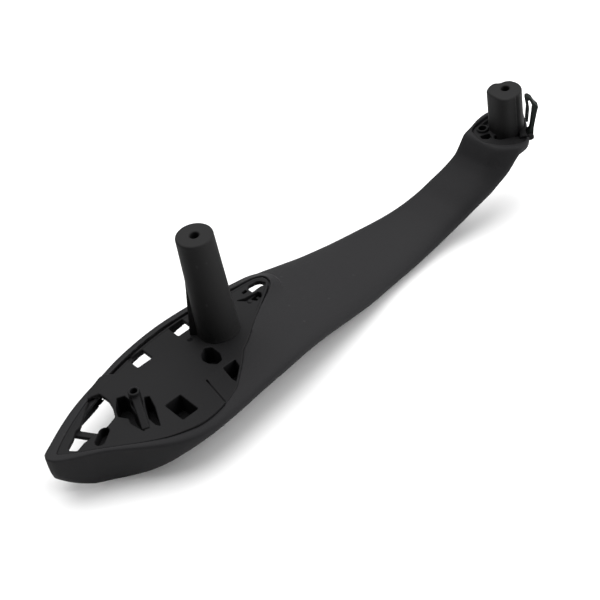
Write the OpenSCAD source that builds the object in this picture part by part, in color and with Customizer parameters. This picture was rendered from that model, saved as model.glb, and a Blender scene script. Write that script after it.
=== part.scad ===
// Interior door pull handle of a car, seen from its door side.
// A long moulded grip shell carries a boat-shaped carrier plate at one end and a
// rounded foot at the other. Two screw towers, a locating boss and a sprung end
// clip point along +Z, into the door. The cabin side is open and ribbed, ready
// for a trim strip.
// Frame: origin at the centre of the lower tower's screw seat, +X from the boat's
// tip to the foot, +Z into the door along the towers. Millimetres.

/* [Overall] */
// Distance between the axes of the lower and the upper screw tower
tower_pitch = 211; // [206:1:216]
// Width scale of the boat and of the grip, as a fraction of the design width
width_k = 1.0; // [0.95:0.01:1.05]
// How far the grip dips away from the door between its two ends
grip_dip = 13; // [8:0.5:16]
// Height of the foot's rim above the boat's rim
foot_rise = 18; // [15:0.5:20]

/* [Shell] */
// Wall of the grip shell
shell_t = 2.6; // [2.2:0.1:3.2]
// Depth of the hull below the rim, at the boat's tip
hull_depth = 23; // [20:0.5:25]
// Depth of the open cabin-side edge below the grip's surface
grip_depth = 14; // [12:0.5:16]
// Width of the groove between the rim and the carrier plate
rim_groove = 0.9; // [0.4:0.1:1.2]

/* [Carrier plate] */
// Thickness of the carrier plate
plate_t = 2.6; // [2:0.1:3.2]
// Depth of the pockets that hang below the plate
pocket_depth = 9; // [7:0.5:11]
// Diameter of the drain and tool hole beside the lower tower
tool_hole_d = 10.8; // [9:0.1:12]
// Height of the raised lip along the plate's rim side
lip_h = 0.8; // [0.4:0.1:1.2]

/* [Screw towers] */
// Height of the lower tower above the plate
lower_tower_h = 65.6; // [60:0.1:70]
// Diameter of the lower tower at its seat
lower_seat_d = 20; // [17:0.1:22]
// Diameter of the lower tower at its base
lower_base_d = 23; // [23:0.1:26]
// Height of the upper tower's seat above the foot's rim
upper_tower_h = 24.2; // [18:0.1:27]
// Diameter of both thread-forming screw holes
screw_hole_d = 5.0; // [4:0.1:5.6]
// Depth of the lower screw hole
lower_hole_l = 30; // [20:1:40]
// Depth of the upper screw hole
upper_hole_l = 20; // [14:1:24]

/* [Locating boss] */
// Outer diameter of the locating boss
boss_d = 6.4; // [5.6:0.1:7]
// Diameter of the locating hole
boss_hole_d = 3.8; // [3.2:0.1:4.2]
// Height of the locating boss above the plate
boss_h = 9; // [6:0.5:12]

/* [End clip] */
// Height of the end clip above its hinge
clip_h = 26.5; // [24:0.5:30]
// Width of the end clip
clip_w = 5; // [4:0.5:7]
// Thickness of the clip's outer leg
clip_t = 2.0; // [1.6:0.1:2.4]

/* [Hidden] */
$fn = 48;
eps = 0.01;

// ---- smooth curves through stations ------------------------------------
function seg(t, x, i = 0) = (i >= len(t) - 2 || x < t[i + 1][0]) ? i : seg(t, x, i + 1);
function slope(t, i) =
    i == 0 ? (t[1][1] - t[0][1]) / (t[1][0] - t[0][0])
  : i == len(t) - 1 ? (t[i][1] - t[i - 1][1]) / (t[i][0] - t[i - 1][0])
  : (t[i + 1][1] - t[i - 1][1]) / (t[i + 1][0] - t[i - 1][0]);
function at(t, x) = let (
    i = seg(t, x), h = t[i + 1][0] - t[i][0],
    u = max(0, min(1, (x - t[i][0]) / h)))
    (2*u*u*u - 3*u*u + 1) * t[i][1] + (u*u*u - 2*u*u + u) * h * slope(t, i)
  + (3*u*u - 2*u*u*u) * t[i + 1][1] + (u*u*u - u*u) * h * slope(t, i + 1);

// ---- design stations, [x, value], in the plate's own frame ---------------
// (x = 0 on the lower tower's axis, z = 0 on the boat's rim)
left_edge = [[-117, -5.5], [-116.4, -3.4], [-115, -1.8], [-110, 1.2], [-100, 7], [-90, 12],
    [-80, 16], [-65, 20.8], [-50, 25.2], [-35, 27.8], [-20, 29], [-5, 28.6], [10, 27], [25, 25],
    [40, 23.8], [55, 23.4], [75, 21.2], [95, 19.2], [115, 16.2], [135, 11], [150, 7.3], [165, 4],
    [177, 0.6], [187, -2.6], [196, -1.8], [205, 0.2], [214, 0], [219, -3.6], [222, -9],
    [223.2, -14], [223.6, -17.5]];
right_edge = [[-117, -5.5], [-116.4, -7.8], [-115, -10], [-110, -14], [-100, -20.2], [-94, -24],
    [-87, -29.8], [-80, -36], [-72, -42.2], [-65, -46.8], [-56, -50.4], [-45, -51.8], [-30, -51],
    [-10, -48.8], [10, -46.8], [30, -43.8], [55, -39.8], [80, -35.8], [100, -32], [125, -29.6],
    [145, -29.2], [158, -30.4], [170, -32.4], [182, -34.4], [192, -37.2], [200, -38.4],
    [206, -37.8], [211, -34.2], [215.6, -28.8], [219.4, -24.4], [222.4, -20.6], [223.6, -17.5]];
dip_line = [[-120, 0], [10, 0], [25, -0.06], [40, -0.2], [60, -0.5], [80, -0.78], [100, -0.97],
    [120, -1], [140, -0.82], [155, -0.5], [168, -0.12], [176, 0], [230, 0]];
rise_line = [[-120, 0], [150, 0], [165, 0.03], [174, 0.15], [182, 0.45], [186, 0.75],
    [188.8, 0.94], [191, 1], [230, 1]];
corner_h = [[-117, 2], [-88, 2.6], [-62, 5], [0, 5.2], [60, 5.8], [150, 6.2], [178, 5.6], [192, 3], [224, 2]];
left_n = [[-117, 9], [10, 9], [35, 6], [60, 3.4], [150, 3], [180, 3.6], [192, 6], [224, 8]];
right_n = [[-117, 8], [-90, 8], [-64, 4], [10, 3.6], [50, 3], [150, 2.8], [180, 3.2], [192, 6], [224, 8]];
left_fall = [[-117, 19], [-110, 15], [-104, 8.6], [-98, 4.2], [-90, 5.2], [-80, 5.6], [-70, 3.8],
    [-60, 1.8], [-45, 1], [-10, 1], [10, 1.8], [30, 5], [60, 6.5], [150, 6.5], [180, 7], [195, 7], [224, 6]];
right_fall = [[-117, 19], [-110, 20.4], [-100, 22], [-92, 22], [-85, 20.8], [-75, 17.6], [-60, 10.2],
    [-45, 6.4], [-20, 6], [150, 6], [180, 6], [195, 6], [224, 6]];
left_inset = [[-117, 3.4], [-60, 5], [-20, 8], [30, 9], [150, 8], [190, 7], [224, 6]];
right_inset = [[-117, 3.4], [-90, 3.4], [-70, 6], [-50, 9], [30, 10], [150, 9], [190, 7], [224, 6]];
tip_rake = 2.8;

// lower tower, upper tower, locating boss and ring boss centres in the plan
tower2_y = -17;
boss_x = -62.4; boss_y = -10.4;

kx = (tower_pitch - 20) / 191.3;
function X(x) = x < 20 ? x : 20 + (x - 20) * kx;
function el(x) = width_k * at(left_edge, x);
function er(x) = width_k * at(right_edge, x);
// height of the surface; the foot's rise starts later towards the grip's outer corner
function lag(y) = 0.045 * pow(max(0, -y - 24), 2);
function zt(x, y = 0) = grip_dip * at(dip_line, x) + foot_rise * at(rise_line, x - lag(y));
function depth_k(x) = x < -40 ? hull_depth / 23 : x > 185 ? 1 : grip_depth / 14;

// one cross-section of the outer body, from the left open edge over the top to the right one
NW = 5; NT = 10;
function low(x, p) = let (s = (1 - cos(p)) / (1 - cos(82)),
    near = max(0, 1 - (x + 117) / 30), far = max(0, 1 - (223.6 - x) / 20))
    X(x) + tip_rake * (near - 0.5 * far) * s;
function ring(x) = let (
    yl = el(x), yr = er(x), yc = (yl + yr) / 2, a = (yl - yr) / 2,
    b = min(at(corner_h, x), a),
    nl = at(left_n, x), nr = at(right_n, x),
    wl = min(at(left_inset, x), 0.45 * a), wr = min(at(right_inset, x), 0.45 * a),
    fl = at(left_fall, x) * depth_k(x), fr = at(right_fall, x) * depth_k(x),
    zl = zt(x, yl) - b, zr = zt(x, yr) - b)
    concat(
      [for (k = [0 : NW - 1]) let (p = 82 * (1 - k / NW))
          [low(x, p), yl - wl * (1 - cos(p)) / (1 - cos(82)), zl - fl * sin(p) / sin(82)]],
      [for (k = [0 : NT]) let (q = 90 * k / NT, y = yc + a * pow(cos(q), 2 / nl))
          [X(x), y, zt(x, y) - b + b * pow(sin(q), 2 / nl)]],
      [for (k = [NT - 1 : -1 : 0]) let (q = 90 * k / NT, y = yc - a * pow(cos(q), 2 / nr))
          [X(x), y, zt(x, y) - b + b * pow(sin(q), 2 / nr)]],
      [for (k = [NW - 1 : -1 : 0]) let (p = 82 * (1 - k / NW))
          [low(x, p), yr + wr * (1 - cos(p)) / (1 - cos(82)), zr - fr * sin(p) / sin(82)]]);

// closed skin over a list of equal rings
module skin(rings) {
    n = len(rings[0]); m = len(rings);
    polyhedron(
        points = [for (r = rings) each r],
        faces = concat(
            [[for (j = [0 : n - 1]) j]],
            [for (i = [0 : m - 2]) for (j = [0 : n - 1]) each
                [[i*n + j, (i + 1)*n + (j + 1) % n, i*n + (j + 1) % n],
                 [i*n + j, (i + 1)*n + j, (i + 1)*n + (j + 1) % n]]],
            [[for (j = [n - 1 : -1 : 0]) (m - 1)*n + j]]),
        convexity = 8);
}

xs_outer = concat(
    [for (k = [0 : 6]) -116.6 + 16.8 * pow((k + 0.6) / 7.6, 2)],
    [for (x = [-100 : 7 : 140]) x],
    [for (x = [145 : 3.5 : 194]) x],
    [for (x = [198, 203, 208, 212, 215.5, 218.5, 220.8, 222.3, 223.2]) x]);

// space inside the grip at a depth t under the surface, s in from each side, down to depth h
function inner_ring(x, t, s, h) = let (
    yl = el(x) - s, yr = er(x) + s, yc = (yl + yr) / 2, a = (yl - yr) / 2,
    b = max(1.2, at(corner_h, x) - 1.4))
    concat(
      [[X(x), yl - 0.32 * a, min(zt(x, yl), zt(x)) - h], [X(x), yl - 0.05 * a, zt(x, yl) - t - b - 2]],
      [for (k = [0 : 5]) let (q = 90 * k / 5, y = yc + a * pow(cos(q), 0.8))
          [X(x), y, zt(x, y) - t - b + b * pow(sin(q), 0.8)]],
      [for (k = [4 : -1 : 0]) let (q = 90 * k / 5, y = yc - a * pow(cos(q), 0.8))
          [X(x), y, zt(x, y) - t - b + b * pow(sin(q), 0.8)]],
      [[X(x), yr + 0.05 * a, zt(x, yr) - t - b - 2], [X(x), yr + 0.32 * a, min(zt(x, yr), zt(x)) - h]]);
xs_inner = concat([for (x = [34 : 8 : 154]) x], [for (x = [159 : 4 : 187]) x]);

// ---- plan outlines ------------------------------------------------------
function wide(p) = [for (q = p) [q[0], q[1] * width_k]];
opening_pts = [[-111, -7.6], [-108, -4.4], [-100, 0.8], [-90, 6.2], [-80, 10.6], [-65, 15.4],
    [-50, 19.4], [-35, 22], [-20, 23], [-5, 22.6], [10, 20.8], [24, 18], [34, 16.8], [40, 15.4],
    [43.4, 12.4], [42.4, 7], [38, 2.6], [30.5, -2.5], [16, -12], [4.8, -20], [-1, -23.4],
    [-8, -30.4], [-19.5, -40.2], [-25, -43], [-31, -45], [-38, -46.6], [-46, -47.2], [-54, -46],
    [-64, -42], [-75, -35.4], [-86, -27], [-96, -19.2], [-105, -13]];
module opening() { polygon(wide(opening_pts)); }
module plate_outline() {
    intersection() {
        offset(delta = -0.2) opening();
        translate([-rim_groove * 0.3, -rim_groove]) opening();
    }
}

foot_pts = [[192.6, -9], [194.4, -5.4], [198.7, -3.2], [204.4, -2.3], [209.6, -2.2], [213.6, -3.4], [217.4, -6.8],
    [219.8, -11], [220.7, -16], [219.8, -20.4], [217, -24.6], [213, -29], [210, -32.6], [207.4, -35.2],
    [204.4, -35.9], [199.6, -33.8], [195.4, -29.8], [192.3, -24.6], [190.4, -18.6], [190.9, -13]];
module foot_open() { polygon([for (p = foot_pts) [X(p[0]), p[1] * width_k]]); }

// rounded upright block
module pad(x, y, z, l, w, h) {
    hull() for (sx = [-1, 1]) for (sy = [-1, 1])
        translate([X(x) + sx * (l/2 - 0.8), y + sy * (w/2 - 0.8), z - h]) cylinder(r = 0.8, h = h, $fn = 16);
}
module in_frame() { translate([0, 0, -lower_tower_h]) children(); }
black = [0.10, 0.10, 0.105];
grey = [0.13, 0.13, 0.135];

// ---- 1. grip shell: rim, hull, grip skin and the foot's rim, one moulding ----
module grip_shell() color(black) in_frame() {
    difference() {
        skin([for (x = xs_outer) ring(x)]);
        // seat of the carrier plate, its ledge, and the open hull under it
        translate([0, 0, -plate_t - 0.05]) linear_extrude(30) opening();
        translate([0, 0, -40]) linear_extrude(40 - plate_t - 2) opening();
        translate([0, 0, -8]) linear_extrude(9) offset(delta = -1.8) opening();
        skin([for (x = xs_inner) inner_ring(x, shell_t, shell_t + 0.8, 40)]);
        // foot, open right through
        translate([0, 0, foot_rise - 40]) linear_extrude(60) foot_open();
        // notch for the end clip's lug
        translate([0, 0, foot_rise]) at_clip() translate([-6, -clip_w / 2 - 1.8, -2.3]) cube([9, clip_w + 3.6, 20]);
        // passages of the core beam under the plate's end and into the foot
        hull() for (y = [-30, -4]) translate([X(30), y, -30]) cylinder(r = 9, h = 30 - shell_t - 3.4, $fn = 24);
        hull() for (y = [-25, -8]) translate([X(194.5), y, -30]) cylinder(r = 5, h = 30 + foot_rise - 11, $fn = 24);
    }
    // guides that hold the core beam
    for (x = [52 : 34 : 154]) {
        pad(x, el(x) - 6.5, zt(x) - 5.4, 6, 6.6, 3.6);
        pad(x, er(x) + 6.5, zt(x) - 5.4, 6, 6.6, 3.6);
    }
}

// ---- 2. carrier plate ---------------------------------------------------------
window_pts = [[-71.6, 10.4], [-76.8, 11.8], [-82.5, 7.4], [-92.2, -0.8], [-95.7, -1.6], [-99.8, -5], [-104.6, -7.8],
    [-105.6, -9.8], [-102.9, -13.2], [-97.4, -11.4], [-90.4, -11.3], [-82.2, -11.4], [-76, -9.2], [-72.8, -3], [-71.2, 3]];
tri_pts = [[-17, -26], [-9.2, -26.3], [-10.2, -30.2], [-18.8, -37.4]];
slot_r_pts = [[-58.6, -10.6], [-55.2, -12.4], [-63.6, -32.2], [-66.6, -29.6]];
slot_l_pts = [[-67.6, -3.4], [-63.8, -4.6], [-66.2, -13], [-71.8, -29.6], [-76.2, -12]];
side_windows = [[-46.4, -36.6, 10, 19], [-17.2, -7.8, 12, 20.6]];
module cup2d(pts) { polygon(wide(pts)); }
module below(d) { translate([0, 0, -d]) linear_extrude(d - plate_t + eps) children(); }
module carrier_plate() color(grey) in_frame() {
    difference() {
        union() {
            translate([0, 0, -plate_t]) linear_extrude(plate_t) plate_outline();
            // raised lip along the rim side
            linear_extrude(lip_h) intersection() {
                difference() { plate_outline(); translate([0.4, -1.1]) plate_outline(); }
                polygon([[-112, -9], [-100, -8], [-70, 8], [0, 14], [46, 8], [50, 40], [-112, 40]]);
            }
            // walls of the pockets and stiffening ribs under the plate, clear of the ledge
            intersection() {
                union() {
                    below(pocket_depth) { translate([-55.6, -39.6]) square([13.2, 18.2]); }
                    below(pocket_depth) translate([-15.6, -14.2]) circle(d = tool_hole_d + 3);
                    below(pocket_depth) offset(delta = 1.4) cup2d(tri_pts);
                    below(pocket_depth) offset(delta = 1.2) cup2d(slot_r_pts);
                    below(pocket_depth) offset(delta = 1.2) cup2d(slot_l_pts);
                    below(7.6) hull() { translate([-85.8, -13.2]) circle(r = 3.7); translate([-91.6, -17.2]) circle(r = 3.7); }
                    below(6) translate([-62, 4]) square([46, 1.6]);
                    below(6) for (x = [-54, -30]) translate([x, -14]) square([1.6, 19]);
                }
                union() {
                    translate([0, 0, -20]) linear_extrude(30) offset(delta = -1.95) opening();
                    translate([0, 0, -20]) linear_extrude(17.8 - plate_t) offset(delta = -0.3) opening();
                }
            }
            // tab that laps onto the shell's rim
            translate([0, 0, 0.05]) linear_extrude(0.95) cup2d([[-79, 12.4], [-74.4, 17.8], [-64, 21.4],
                [-60.4, 20.4], [-55, 12.4], [-62, 9.4], [-70, 9]]);
            translate([0, 0, -1]) linear_extrude(2) cup2d([[-70.4, 10], [-69, 13.6], [-58, 16.6], [-55.4, 12.6], [-62, 9.6]]);
            // collar under the lower tower
            translate([0, 0, -12]) cylinder(r = 11, h = 12 - plate_t + eps);
        }
        // long window beside the tip, crossed lower down by a sunken bar
        translate([0, 0, -20]) linear_extrude(30) cup2d(window_pts);
        for (w = side_windows) translate([w[0], w[2] * width_k, -20]) cube([w[1] - w[0], (w[3] - w[2]) * width_k, 30]);
        translate([31.2, 7, -20]) cube([8.8, 6, 30]);
        // pockets
        translate([-54, -38, -pocket_depth + 1.4]) cube([10, 15, 20]);
        translate([-15.6, -14.2, -pocket_depth + 1.4]) cylinder(d = tool_hole_d, h = 20);
        translate([0, 0, -pocket_depth + 1.4]) linear_extrude(20) cup2d(tri_pts);
        // slots on both sides of the locating boss
        translate([0, 0, -pocket_depth + 1.4]) linear_extrude(30) cup2d(slot_r_pts);
        translate([0, 0, -pocket_depth + 1.4]) linear_extrude(30) cup2d(slot_l_pts);
        // short closed slot beside the long window
        translate([-85.8, -13.2, -6.4]) rotate([0, 0, 34.6]) cylinder(r = 2.6, h = 10);
        translate([-91.6, -17.2, -6.4]) rotate([0, 0, 214.6]) cylinder(r = 2.6, h = 10);
        translate([-88.7, -15.2, -1.4]) rotate([0, 0, 34.6]) cube([7, 5.2, 10], center = true);
        // seat of the side latch
        translate([19.6, 0.4, -20]) cube([13, 5.4, 30]);
        // the plate's inner corner lies lower than its raised panel
        intersection() {
            translate([0, 0, -2]) linear_extrude(6) cup2d([[-27.8, -25.4], [-29.6, -34], [-31.4, -42.6],
                [-34.6, -45.2], [-41, -60], [-4, -60], [-4, -25.4]]);
            translate([-30, 0, -0.8]) rotate([0, -2.9, 0]) translate([-12, -80, 0]) cube([60, 80, 6]);
        }
        // spigot hole of the lower tower and foot hole of the locating boss
        translate([0, 0, -30]) cylinder(r = 8.1, h = 40);
        translate([boss_x, boss_y, -20]) cylinder(r = 2.5, h = 30);
    }
    // sunken bar across the long window
    translate([0, 0, -plate_t - 1.6]) linear_extrude(2.4) cup2d([[-98.4, -0.4], [-95.6, 1], [-88, -12.2], [-90.8, -13.8]]);
}

// ---- 3. lower screw tower: hollow cone, blind screw hole, spigot and gussets ----
module gusset(a, l, h, t) {
    rotate([0, 0, a]) rotate([90, 0, 0]) translate([0, 0, -t / 2]) linear_extrude(t)
        polygon([[9, 0], [l, 0], [l, 3], [9.6, h], [8, h]]);
}
module lower_tower() color(grey) in_frame() {
    difference() {
        union() {
            cylinder(d1 = lower_base_d, d2 = lower_seat_d, h = lower_tower_h);
            translate([0, 0, -plate_t - 4]) cylinder(r = 8, h = plate_t + 4.1);
            gusset(47, 14.6, 46, 1.8);
            gusset(135, 14.2, 42, 1.8);
        }
        translate([0, 0, lower_tower_h - lower_hole_l]) cylinder(d = screw_hole_d, h = lower_hole_l + 1);
        translate([0, 0, -20]) cylinder(r = 5.6, h = 20 + lower_tower_h - lower_hole_l - 4);
    }
}

// ---- 4. locating boss with its sloping buttress ----
module locating_boss() color(grey) in_frame() {
    difference() {
        union() {
            translate([boss_x, boss_y, 0]) cylinder(d = boss_d, h = boss_h);
            translate([boss_x, boss_y, -plate_t - 1.5]) cylinder(r = 2.45, h = plate_t + 2);
            translate([boss_x, boss_y, 0]) rotate([0, 0, 246]) translate([0, -2.1, 0]) rotate([90, 0, 90])
                translate([0, 0, 0]) linear_extrude(2) square([4.2, boss_h - 3]);
            translate([boss_x, boss_y, 0]) rotate([0, 0, 246]) rotate([90, 0, 0]) translate([0, 0, -2.1])
                linear_extrude(4.2) polygon([[0, 0], [20, 0], [19.2, 0.7], [2.2, boss_h - 2], [0, boss_h - 2]]);
        }
        translate([boss_x, boss_y, -1]) cylinder(d = boss_hole_d, h = boss_h + 2);
    }
}

// ---- 5. side latch: a small snap tongue in the plate beside the grip ----
module side_latch() color(grey) in_frame() {
    translate([19.8, 0.6, -plate_t - 2]) cube([2, 5, plate_t + 2]);
    translate([30.4, 0.6, -plate_t - 1.8]) cube([1.2, 5, plate_t + 1.8]);
    translate([30.4, 1.6, -plate_t + 0.2]) cube([2, 4, plate_t - 0.2]);
    intersection() {
        translate([18.6, -0.6, -plate_t - 1.8]) cube([15, 7.4, 1.78]);
        translate([0, 0, -20]) linear_extrude(30) offset(delta = -1.95) opening();
    }
    translate([25, 3.2, -plate_t - 2]) cylinder(d = 3.6, h = plate_t + 2.8);
    translate([23.6, 4.2, -plate_t - 2]) cube([7, 1.2, plate_t + 1.4]);
}

// ---- 6. core beam: top web and egg-crate ribs that stiffen the grip ----
function beam_ring(x, t, s, h) = [for (p = inner_ring(x, t, s, h)) p];
module core_beam() color(grey) in_frame() {
    intersection() {
        skin([for (x = xs_inner) if (x >= 40 && x <= 185) inner_ring(x, shell_t + 0.03, shell_t + 7.4, 12)]);
        union() {
            // cross ribs
            for (x = [42.7 : 14 : 182]) translate([X(x), -60, -60]) cube([1.8, 120, 120]);
            // two long walls following the grip
            for (s = [-1, 1]) translate([0, 0, -60]) linear_extrude(120) polygon(concat(
                [for (x = [38.3 : 8 : 190.3]) [X(x), (el(x) + er(x)) / 2 + s * 5 + 0.9]],
                [for (x = [190.3 : -8 : 38.3]) [X(x), (el(x) + er(x)) / 2 + s * 5 - 0.9]]));
        }
    }
    difference() {
        skin([for (x = xs_inner) if (x >= 40 && x <= 185) inner_ring(x, shell_t + 0.03, shell_t + 7.4, 12)]);
        skin([for (x = concat([30, 36], [for (x = xs_inner) if (x >= 40 && x <= 185) x], [189]))
            inner_ring(x, shell_t + 2.1, shell_t + 2, 40)]);
    }
}

// ---- 7. upper frame: floor, wall, ring boss and ribs of the foot ----
ring_x = 199.7; ring_y = -8.4;
module rib2(x1, y1, x2, y2, t) {
    d = [x2 - x1, y2 - y1]; l = norm(d); n = [-d[1], d[0]] / l * t / 2;
    polygon([[x1, y1] + n, [x1, y1] - n, [x2, y2] - n, [x2, y2] + n]);
}
clip_a = -40.6;   // direction in which the end clip leans out
clip_x = 213.4; clip_y = -32.4; clip_z = -1.2;
pin_r = 0.9;
module at_clip() { translate([X(clip_x), clip_y, clip_z]) rotate([0, 0, clip_a]) children(); }
module upper_frame() color(grey) in_frame() translate([0, 0, foot_rise]) {
    difference() {
        union() {
            translate([0, 0, -6.6]) linear_extrude(1.8) offset(delta = -0.2) foot_open();
            translate([0, 0, -6.6]) linear_extrude(4.6) difference() {
                offset(delta = -0.2) foot_open();
                offset(delta = -1.5) foot_open();
            }
            translate([X(ring_x), ring_y, -6.6]) cylinder(r = 3.4, h = 6.6);
            // radial ribs between the upper tower and the wall
            translate([0, 0, -6.6]) linear_extrude(5) intersection() {
                offset(delta = -0.5) foot_open();
                union() {
                    rib2(tower_pitch, tower2_y, X(ring_x), ring_y, 1.5);
                    rib2(tower_pitch, tower2_y, X(190), -18, 1.5);
                    rib2(tower_pitch, tower2_y, X(199), -36, 1.5);
                    rib2(X(ring_x), ring_y, X(190), -4, 1.5);
                }
            }
            // lug of the end clip: a root block in the rim's notch and two cheeks
            intersection() {
                at_clip() translate([-7, -clip_w / 2 - 1.6, -5.4]) cube([6, clip_w + 3.2, 7.2]);
                translate([0, 0, -20]) linear_extrude(30) offset(delta = -0.2) foot_open();
            }
            at_clip() {
                translate([-5, -clip_w / 2 - 1.6, -2.1]) cube([3, clip_w + 3.2, 3.9]);
                for (s = [-1, 1]) translate([0, s * (clip_w / 2 + 0.8), 0]) rotate([90, 0, 0]) {
                    cylinder(r = 2, h = 1.6, center = true);
                    translate([-2.2, -0.4, 0]) cube([4.4, 3.2, 1.6], center = true);
                }
            }
        }
        translate([tower_pitch, tower2_y, -20]) cylinder(r = 7.1, h = 40);
        translate([tower_pitch, tower2_y, -4.9]) linear_extrude(20) offset(delta = 0.15) lobes();
        translate([tower_pitch, tower2_y, -4.9]) rotate([0, 0, -38]) translate([4, -1.4, 0]) cube([7.6, 2.8, 20]);
        translate([X(ring_x), ring_y, -5]) cylinder(r = 2.25, h = 20);
        at_clip() rotate([90, 0, 0]) cylinder(r = pin_r + 0.05, h = clip_w + 8, center = true);
    }
}

// ---- 8. upper screw tower: lobed column with a blind screw hole ----
module lobes() {
    polygon([[-7.1, 6.3], [-5, 7.4], [-2.9, 8], [-0.8, 8], [0.8, 7.4], [2.2, 5.8], [3.8, 5], [5.4, 4.4], [7.3, 2.6],
        [8.3, 0.6], [8.5, -1.6], [8.2, -3.6], [7.3, -5.8], [5.5, -8], [2.9, -9.7], [0, -10.6], [-2.6, -10.2],
        [-6.6, -9], [-8.6, -7], [-9.3, -4.6], [-9.4, -2], [-9.1, 1], [-8.6, 3.6], [-8, 5.2]]);
}
module upper_tower() color(grey) in_frame() translate([tower_pitch, tower2_y, foot_rise]) {
    difference() {
        union() {
            translate([0, 0, -4.8]) linear_extrude(upper_tower_h + 4.8) lobes();
            translate([0, 0, -8]) cylinder(r = 7, h = 3.3);
            rotate([0, 0, -38]) rotate([90, 0, 0]) translate([0, 0, -1.2]) linear_extrude(2.4)
                polygon([[6, -4.8], [9, -4.8], [9, 0.2], [10.8, 0.2], [10.5, 1.4], [8.2, 10], [6, 10]]);
        }
        translate([0, 0, upper_tower_h - upper_hole_l]) cylinder(d = screw_hole_d, h = upper_hole_l + 1);
        // below the rim the tower stays inside the foot's opening
        translate([-tower_pitch, -tower2_y, -12]) linear_extrude(12.12) difference() {
            translate([180, -60]) square([60, 70]);
            offset(delta = -0.12) foot_open();
        }
    }
}

// ---- 9. end clip: sprung hairpin hook on a hinge pin held by the frame's lug ----
module end_clip() color(black) in_frame() translate([0, 0, foot_rise]) at_clip() rotate([90, 0, 0]) {
    k = clip_h / 31;
    cylinder(r = pin_r, h = clip_w + 3, center = true);
    translate([0, 0, -clip_w / 2 + 0.25]) linear_extrude(clip_w - 0.5) polygon([
        [1.5, -0.9], [clip_t, 6 * k], [clip_t + 1.9, 17 * k], [clip_t + 3, 22.2 * k], [2.9, 25.4 * k],
        [1.6, 28.6 * k], [0.5, 30.6 * k], [-0.9, 31.2 * k], [-1.9, 30.2 * k], [-1.9, 28.5 * k],
        [-1.3, 22 * k], [-2.2, 12 * k], [-1.6, 10.8 * k], [-0.8, 11.6 * k], [0.2, 22 * k], [-0.2, 28 * k],
        [0.6, 28.2 * k], [1.8, 25 * k], [2.4, 22.4 * k], [1.8, 17 * k], [0.2, 6 * k], [-1.5, 0.4], [-1.2, -1.1],
        [0, -1.5], [1.1, -1.3]]);
}

grip_shell();
carrier_plate();
lower_tower();
locating_boss();
side_latch();
core_beam();
upper_frame();
upper_tower();
end_clip();
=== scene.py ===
import bpy, math
import numpy as np
from mathutils import Matrix, Vector


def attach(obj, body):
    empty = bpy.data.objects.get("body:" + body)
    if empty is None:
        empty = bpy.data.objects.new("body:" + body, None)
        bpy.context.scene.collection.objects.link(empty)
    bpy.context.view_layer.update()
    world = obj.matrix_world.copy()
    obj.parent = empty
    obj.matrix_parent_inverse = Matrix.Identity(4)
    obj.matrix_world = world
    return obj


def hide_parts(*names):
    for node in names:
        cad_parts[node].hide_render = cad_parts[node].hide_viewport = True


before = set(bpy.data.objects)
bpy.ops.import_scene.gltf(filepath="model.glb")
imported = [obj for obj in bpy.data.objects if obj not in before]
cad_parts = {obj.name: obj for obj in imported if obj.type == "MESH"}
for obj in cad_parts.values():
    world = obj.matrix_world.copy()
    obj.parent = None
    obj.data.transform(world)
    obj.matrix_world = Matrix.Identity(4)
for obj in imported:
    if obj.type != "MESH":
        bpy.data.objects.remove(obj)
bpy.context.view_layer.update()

# ------------------------------------------------------------------ numbers
# lengths in millimetres, in the carrier plate's own frame: x = 0 on the lower
# tower's axis, z = 0 on the boat's rim. The row frame lies H higher.
H = 65.6
PITCH, T2Y = 211.0, -17.0
KX = (PITCH - 20) / 191.3
DIP, RISE, SHELL_T, PLATE_T, PDEPTH = 13.0, 18.0, 2.6, 2.6, 9.0

left_edge = [[-117, -5.5], [-116.4, -3.4], [-115, -1.8], [-110, 1.2], [-100, 7], [-90, 12],
    [-80, 16], [-65, 20.8], [-50, 25.2], [-35, 27.8], [-20, 29], [-5, 28.6], [10, 27], [25, 25],
    [40, 23.8], [55, 23.4], [75, 21.2], [95, 19.2], [115, 16.2], [135, 11], [150, 7.3], [165, 4],
    [177, 0.6], [187, -2.6], [196, -1.8], [205, 0.2], [214, 0], [219, -3.6], [222, -9],
    [223.2, -14], [223.6, -17.5]]
right_edge = [[-117, -5.5], [-116.4, -7.8], [-115, -10], [-110, -14], [-100, -20.2], [-94, -24],
    [-87, -29.8], [-80, -36], [-72, -42.2], [-65, -46.8], [-56, -50.4], [-45, -51.8], [-30, -51],
    [-10, -48.8], [10, -46.8], [30, -43.8], [55, -39.8], [80, -35.8], [100, -32], [125, -29.6],
    [145, -29.2], [158, -30.4], [170, -32.4], [182, -34.4], [192, -37.2], [200, -38.4],
    [206, -37.8], [211, -34.2], [215.6, -28.8], [219.4, -24.4], [222.4, -20.6], [223.6, -17.5]]
dip_line = [[-120, 0], [10, 0], [25, -0.06], [40, -0.2], [60, -0.5], [80, -0.78], [100, -0.97],
    [120, -1], [140, -0.82], [155, -0.5], [168, -0.12], [176, 0], [230, 0]]
rise_line = [[-120, 0], [150, 0], [165, 0.03], [174, 0.15], [182, 0.45], [186, 0.75],
    [188.8, 0.94], [191, 1], [230, 1]]
corner_h = [[-117, 2], [-88, 2.6], [-62, 5], [0, 5.2], [60, 5.8], [150, 6.2], [178, 5.6], [192, 3], [224, 2]]
left_n = [[-117, 9], [10, 9], [35, 6], [60, 3.4], [150, 3], [180, 3.6], [192, 6], [224, 8]]
right_n = [[-117, 8], [-90, 8], [-64, 4], [10, 3.6], [50, 3], [150, 2.8], [180, 3.2], [192, 6], [224, 8]]
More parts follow.
